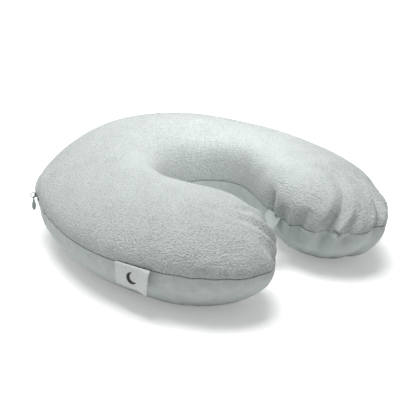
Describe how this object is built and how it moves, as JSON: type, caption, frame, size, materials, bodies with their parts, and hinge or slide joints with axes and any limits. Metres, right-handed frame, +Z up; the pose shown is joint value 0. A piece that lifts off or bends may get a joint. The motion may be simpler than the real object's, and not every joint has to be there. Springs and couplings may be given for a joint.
{
  "type": "neck pillow",
  "caption": "U shaped foam travel neck pillow with a zipped fleece cover, a side label and a press stud strap at the opening.",
  "frame": {"origin": "middle of the footprint, on the resting plane", "axes": "+Z up with the pillow lying flat; +Y towards the nape, so the neck opening faces -Y; +X towards the right arm as seen from above with the nape away from the viewer"},
  "size_m": [0.2901, 0.3092, 0.0925],
  "materials": {
    "foam": "open-cell moulded foam",
    "liner_knit": "thin knit",
    "liner_thread": "thread",
    "cover_fleece": "short pile fleece",
    "cover_knit": "fine knit",
    "seam_thread": "lockstitch thread",
    "zip_tape": "woven tape",
    "zip_coil": "nylon coil",
    "zip_metal": "satin enamel",
    "zip_ring": "plated wire",
    "label_satin": "woven satin",
    "label_ink": "dark weave",
    "strap_fabric": "folded knit",
    "strap_thread": "thread",
    "stud_plastic": "moulded"
  },
  "bodies": {
    "pillow": {"foam_core": "foam", "liner_top": "liner_knit", "liner_bottom": "liner_knit", "liner_seam_thread": "liner_thread", "cover_top_panel": "cover_fleece", "cover_bottom_panel": "cover_knit", "cover_seam_thread": "seam_thread", "zip_tape_upper": "zip_tape", "zip_tape_lower": "zip_tape", "zip_topstitch": "seam_thread", "zip_coil_upper": "zip_coil", "zip_coil_lower": "zip_coil", "zip_top_stops": "zip_metal", "zip_bottom_stop": "zip_metal"},
    "slider": {"zip_slider": "zip_metal"},
    "pull_ring": {"zip_pull_ring": "zip_ring"},
    "pull_tab": {"zip_pull_tab": "zip_metal"},
    "label": {"woven_label": "label_satin", "label_mark": "label_ink"},
    "left_strap": {"strap_left": "strap_fabric", "strap_left_stitching": "strap_thread", "snap_cap": "stud_plastic", "snap_socket": "stud_plastic"},
    "right_strap": {"strap_right": "strap_fabric", "strap_right_stitching": "strap_thread", "snap_stud": "stud_plastic", "snap_backing": "stud_plastic"}
  },
  "joints": [
    {"name": "zip_travel", "type": "hinge", "parent": "pillow", "child": "slider", "pos_m": [0, 0.01817, 0.043], "axis": [0, 0, -1], "range_deg": [0, 113], "deforming": ["zip_coil_upper", "zip_coil_lower"]},
    {"name": "ring_lean", "type": "hinge", "parent": "slider", "child": "pull_ring", "pos_m": [-0.11607, 0.09355, 0.043], "axis": [0, 0, -1], "range_deg": [0, 75]},
    {"name": "tab_swing", "type": "hinge", "parent": "pull_ring", "child": "pull_tab", "pos_m": [-0.11817, 0.09491, 0.0405], "axis": [0.8387, -0.5446, 0], "range_deg": [-70, 0]},
    {"name": "label_lift", "type": "hinge", "parent": "pillow", "child": "label", "pos_m": [-0.13576, -0.07858, 0.043], "axis": [-0.2957, 0.9553, 0], "range_deg": [0, 75]},
    {"name": "left_strap_swing", "type": "hinge", "parent": "pillow", "child": "left_strap", "pos_m": [-0.01945, -0.0762, 0.04455], "axis": [0.2913, -0.9566, 0], "range_deg": [0, 84]},
    {"name": "right_strap_swing", "type": "hinge", "parent": "pillow", "child": "right_strap", "pos_m": [0.01945, -0.0762, 0.04145], "axis": [-0.2913, -0.9566, 0], "range_deg": [-45, 0]}
  ]
}
